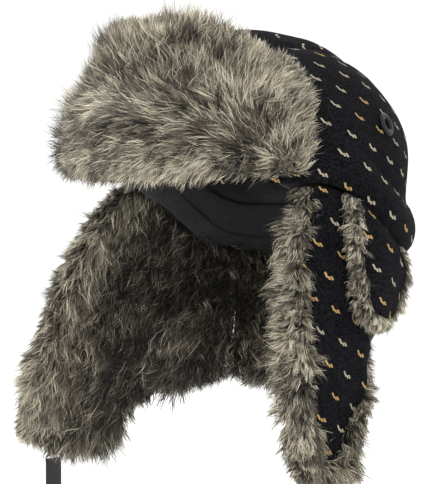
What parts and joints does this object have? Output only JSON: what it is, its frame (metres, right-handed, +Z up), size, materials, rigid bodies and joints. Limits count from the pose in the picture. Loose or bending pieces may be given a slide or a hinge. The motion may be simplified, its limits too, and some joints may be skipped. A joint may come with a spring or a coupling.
{
  "type": "trapper hat",
  "caption": "Winter hat with a knit crown, turned-up fur visor, fur-lined ear flaps, nape curtain, short side flaps and buckled chin straps.",
  "frame": {"origin": "middle of the head opening at brow height, where the wearer's head carries the hat", "axes": "+Z up along the standing wearer, -Y the way the wearer faces, +X the wearer's left"},
  "size_m": [0.2998, 0.2491, 0.4841],
  "materials": {
    "knit": "fine black rib knit with cream and gold flecks",
    "fur": "long grey-brown faux fur with dark roots and cream guard hairs",
    "wadding": "off-white polyester wadding",
    "lining": "black quilted satin",
    "sweatband": "black brushed fleece",
    "stiffener": "raw woven interfacing",
    "hook_and_loop": "black hook-and-loop tape",
    "eyelet": "satin black lacquer",
    "webbing": "black polyester webbing",
    "plastic": "fine matte moulded surface"
  },
  "bodies": {
    "crown": {"crown_lining": "lining", "crown_loop_tape": "hook_and_loop", "crown_side_panel_left": "knit", "crown_side_panel_right": "knit", "crown_top_panel": "knit", "crown_wadding": "wadding", "eyelet_left": "eyelet", "eyelet_right": "eyelet", "eyelet_washer_left": "eyelet", "eyelet_washer_right": "eyelet", "sweatband": "sweatband"},
    "visor": {"visor_backing": "knit", "visor_fur": "fur", "visor_hook_tape": "hook_and_loop", "visor_stiffener": "stiffener"},
    "nape_curtain": {"nape_fur": "fur", "nape_shell": "knit", "nape_wadding": "wadding"},
    "ear_flap_left": {"ear_flap_fur_left": "fur", "ear_flap_shell_left": "knit", "ear_flap_wadding_left": "wadding"},
    "side_flap_left": {"side_flap_fur_left": "fur", "side_flap_shell_left": "knit"},
    "ear_flap_right": {"ear_flap_fur_right": "fur", "ear_flap_shell_right": "knit", "ear_flap_wadding_right": "wadding"},
    "side_flap_right": {"side_flap_fur_right": "fur", "side_flap_shell_right": "knit"},
    "strap_left": {"chin_strap_left": "webbing", "buckle_socket": "plastic"},
    "strap_right": {"chin_strap_right": "webbing", "buckle_plug": "plastic"}
  },
  "joints": [
    {"name": "visor_fold", "type": "hinge", "parent": "crown", "child": "visor", "pos_m": [0, -0.119, 0], "axis": [1, 0, 0], "range_deg": [0, 150]},
    {"name": "nape_fold", "type": "hinge", "parent": "crown", "child": "nape_curtain", "pos_m": [0, 0.127, -0.05], "axis": [1, 0, 0], "range_deg": [0, 140]},
    {"name": "ear_flap_left_fold", "type": "hinge", "parent": "crown", "child": "ear_flap_left", "pos_m": [0.107, 0, 0], "axis": [0, -1, 0], "range_deg": [0, 140]},
    {"name": "side_flap_left_lift", "type": "hinge", "parent": "ear_flap_left", "child": "side_flap_left", "pos_m": [0.10544, 0.016, -0.02449], "axis": [0.1251, -0.8549, 0.5035], "range_deg": [0, 35]},
    {"name": "strap_left_swing", "type": "hinge", "parent": "ear_flap_left", "child": "strap_left", "pos_m": [0.09211, -0.03503, -0.20869], "axis": [0, -1, 0], "range_deg": [-35, 60]},
    {"name": "ear_flap_right_fold", "type": "hinge", "parent": "crown", "child": "ear_flap_right", "pos_m": [-0.107, 0, 0], "axis": [0, 1, 0], "range_deg": [0, 112]},
    {"name": "side_flap_right_lift", "type": "hinge", "parent": "ear_flap_right", "child": "side_flap_right", "pos_m": [-0.09744, 0.016, -0.02449], "axis": [0.1251, 0.8549, -0.5035], "range_deg": [0, 35]},
    {"name": "strap_right_swing", "type": "hinge", "parent": "ear_flap_right", "child": "strap_right", "pos_m": [-0.16997, -0.04147, -0.21055], "axis": [0, 1, 0], "range_deg": [-35, 60]}
  ]
}
